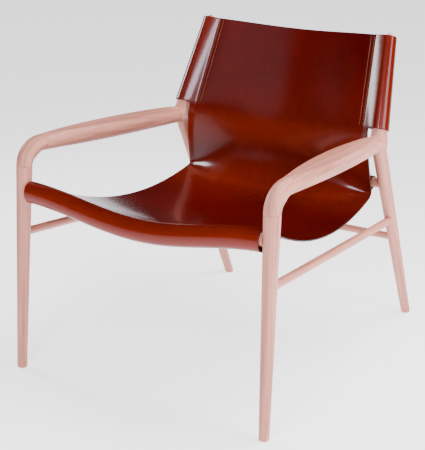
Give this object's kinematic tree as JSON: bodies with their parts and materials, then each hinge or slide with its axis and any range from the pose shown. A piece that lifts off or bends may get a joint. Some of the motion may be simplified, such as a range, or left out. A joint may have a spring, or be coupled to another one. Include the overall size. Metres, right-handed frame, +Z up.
{
  "type": "leather sling lounge chair",
  "caption": "Lounge chair with a turned pale wood frame, swelling armrests and a hanging leather sling for its seat and back.",
  "frame": {"origin": "on the floor, midway between the four feet", "axes": "+Z up, +Y to the back of the chair, +X to the sitter's left"},
  "size_m": [0.7016, 0.8516, 0.7598],
  "materials": {
    "frame_wood": "soaped pale wood, matt",
    "dowel_wood": "plain turned beech",
    "hide": "thick glossy harness leather, dark cut edges"
  },
  "bodies": {
    "root": {"front_leg_left": "frame_wood", "front_leg_right": "frame_wood", "arm_corner_left": "frame_wood", "arm_corner_right": "frame_wood", "armrest_left": "frame_wood", "armrest_right": "frame_wood", "rear_leg_left": "frame_wood", "rear_leg_right": "frame_wood", "side_stretcher_left": "frame_wood", "side_stretcher_right": "frame_wood", "front_rail": "frame_wood", "rear_rail": "frame_wood", "rear_stretcher": "frame_wood", "leg_dowel_left": "dowel_wood", "leg_dowel_right": "dowel_wood", "corner_dowel_left": "dowel_wood", "corner_dowel_right": "dowel_wood", "knee_dowel_left": "dowel_wood", "knee_dowel_right": "dowel_wood", "leather_sling": "hide", "rear_rail_strap": "hide"}
  },
  "joints": []
}
